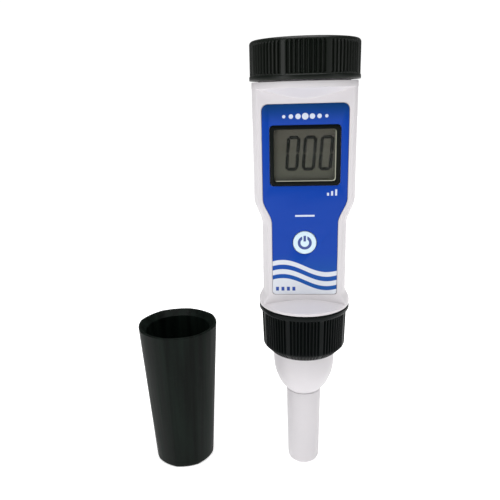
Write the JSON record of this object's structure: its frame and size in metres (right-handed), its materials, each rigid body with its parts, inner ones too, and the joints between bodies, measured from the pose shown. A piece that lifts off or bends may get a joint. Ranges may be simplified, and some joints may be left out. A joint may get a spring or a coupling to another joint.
{
  "type": "digital water tester",
  "caption": "Pocket water tester with display, power button, screw-on battery cap, probe held by a collar nut, and a separate protective cap standing beside it.",
  "frame": {"origin": "point on the tester's axis in the middle of the narrow waist where a hand grips it", "axes": "+Z along the tester's axis from the probe's tip to the battery cap, -Y out of the display face, +X to the right of the display as it is read"},
  "size_m": [0.0845, 0.038, 0.1626],
  "materials": {
    "white_plastic": "satin light grey-white moulded plastic",
    "black_plastic": "satin black moulded plastic",
    "label_film": "printed blue film, semi-gloss",
    "clear_window": "clear polished plastic",
    "display_glass": "grey reflective liquid crystal cell with dark digits",
    "rubber": "matte black silicone rubber",
    "circuit_board": "green solder mask",
    "electronic_black": "black moulding compound",
    "steel": "nickel-plated steel",
    "trimmer_blue": "glossy blue plastic"
  },
  "bodies": {
    "handle": {"housing": "white_plastic", "face_label": "label_film", "display_bezel": "black_plastic", "display_window": "clear_window", "display_panel": "display_glass", "display_holder": "white_plastic", "contact_strip_upper": "rubber", "contact_strip_lower": "rubber", "circuit_board": "circuit_board", "processor_chip": "electronic_black", "amplifier_chip": "electronic_black", "board_screw_upper_left": "steel", "board_screw_upper_right": "steel", "board_screw_lower": "steel", "switch_body": "electronic_black", "battery_holder": "white_plastic", "cell_left_lower": "steel", "cell_left_upper": "steel", "cell_right_lower": "steel", "cell_right_upper": "steel", "contact_spring_left": "steel", "contact_spring_right": "steel", "contact_strap": "steel", "trimmer_body": "trimmer_blue", "electrode_socket": "electronic_black"},
    "button": {"power_button": "white_plastic", "switch_plunger": "electronic_black"},
    "trimmer": {"trimmer_rotor": "steel"},
    "cap_seal": {"cap_gasket": "rubber"},
    "top_cap": {"battery_cap": "black_plastic"},
    "electrode": {"electrode_body": "white_plastic", "probe_tube": "white_plastic", "electrode_insert": "electronic_black", "electrode_gasket": "rubber", "sensing_rod_left": "steel", "sensing_rod_right": "steel", "temperature_pin": "steel"},
    "collar": {"collar_nut": "black_plastic"},
    "sleeve": {"probe_cap": "black_plastic"}
  },
  "joints": [
    {"name": "power_press", "type": "slide", "parent": "handle", "child": "button", "axis": [0, 1, 0], "range_m": [0, 0.0005], "stiffness_N_per_m": 400, "springref_m": -0.0015},
    {"name": "calibration_turn", "type": "hinge", "parent": "handle", "child": "trimmer", "pos_m": [0, 0.0096, 0.068], "axis": [0, 0, 1], "range_deg": [-135, 135]},
    {"name": "cap_turn", "type": "hinge", "parent": "cap_seal", "child": "top_cap", "pos_m": [0, 0, 0.07], "axis": [0, 0, 1], "range_deg": [0, 990]},
    {"name": "cap_rise", "type": "slide", "parent": "handle", "child": "cap_seal", "axis": [0, 0, 1], "range_m": [0, 0.0069]},
    {"name": "collar_turn", "type": "hinge", "parent": "electrode", "child": "collar", "pos_m": [0, 0, -0.028], "axis": [0, 0, -1], "range_deg": [0, 990]},
    {"name": "electrode_drop", "type": "slide", "parent": "handle", "child": "electrode", "axis": [0, 0, -1], "range_m": [0, 0.0069]},
    {"name": "probe_cap_lift", "type": "slide", "parent": "handle", "child": "sleeve", "axis": [0, 0, 1], "range_m": [0, 0.08]}
  ],
  "couplings": [
    {"joint": "cap_rise", "follows": "cap_turn", "m_per_rad": 0.00039789},
    {"joint": "electrode_drop", "follows": "collar_turn", "m_per_rad": 0.00039789}
  ]
}
